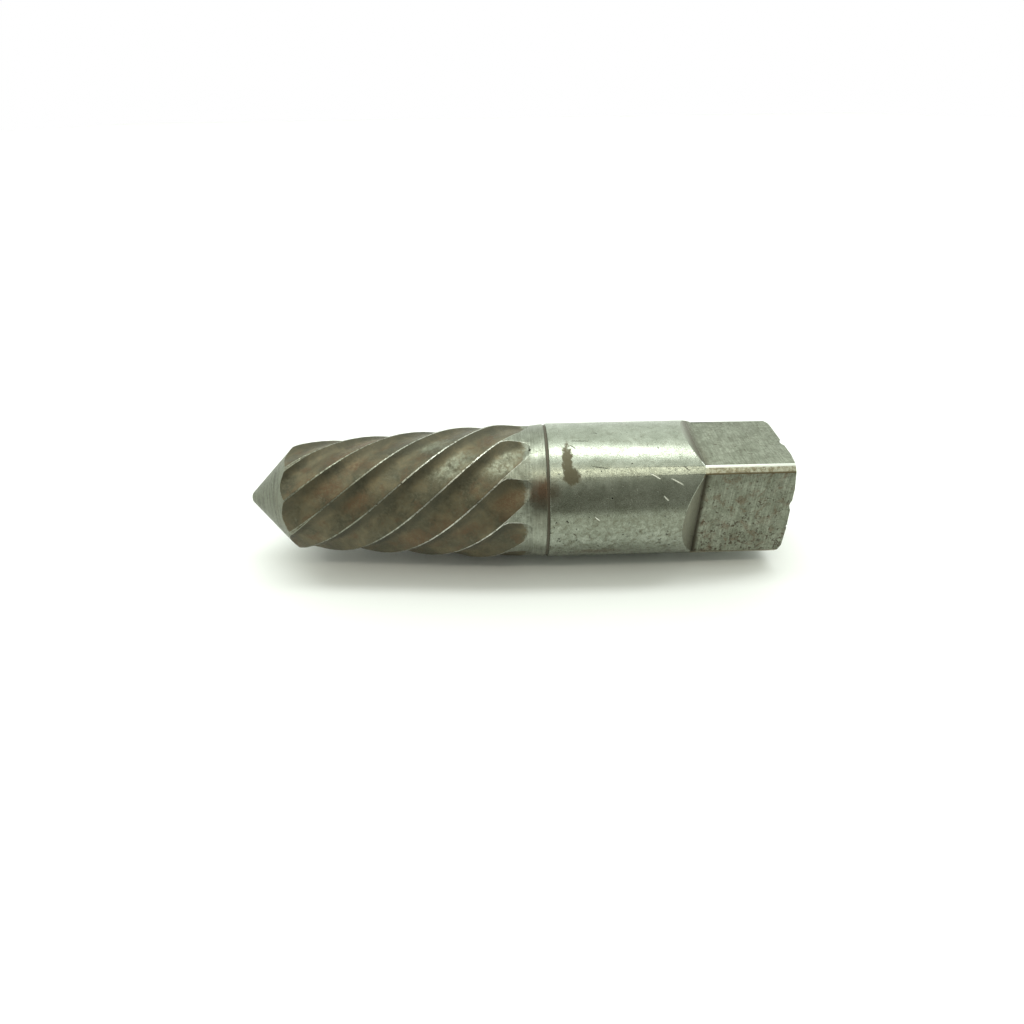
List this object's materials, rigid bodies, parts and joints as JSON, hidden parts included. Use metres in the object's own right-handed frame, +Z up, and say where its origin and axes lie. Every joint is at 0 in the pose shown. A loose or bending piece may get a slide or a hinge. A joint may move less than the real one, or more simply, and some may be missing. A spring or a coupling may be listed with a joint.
{
  "type": "screw extractor",
  "caption": "Spiral-flute screw extractor: tapered left-hand flutes that bite in a drilled hole, a plain shank and a square for a wrench.",
  "frame": {"origin": "bottom centre of the bounding box: under the middle of the tool's length, on the surface that the shank lies on", "axes": "+X runs along the tool from its point to its drive end, +Z is up, and the four flats face +Y, -Y, +Z and -Z"},
  "size_m": [0.1116, 0.0286, 0.0286],
  "materials": {
    "ground_point": "turned, dull",
    "fluted_steel": "dark oxide with light rust",
    "turned_steel": "turned, stained",
    "ground_steel": "ground, satin, worn",
    "milled_steel": "milled, pitted"
  },
  "bodies": {
    "root": {"point": "ground_point", "fluted_taper": "fluted_steel", "collar": "turned_steel", "shank": "ground_steel", "drive_square": "milled_steel"}
  },
  "joints": []
}
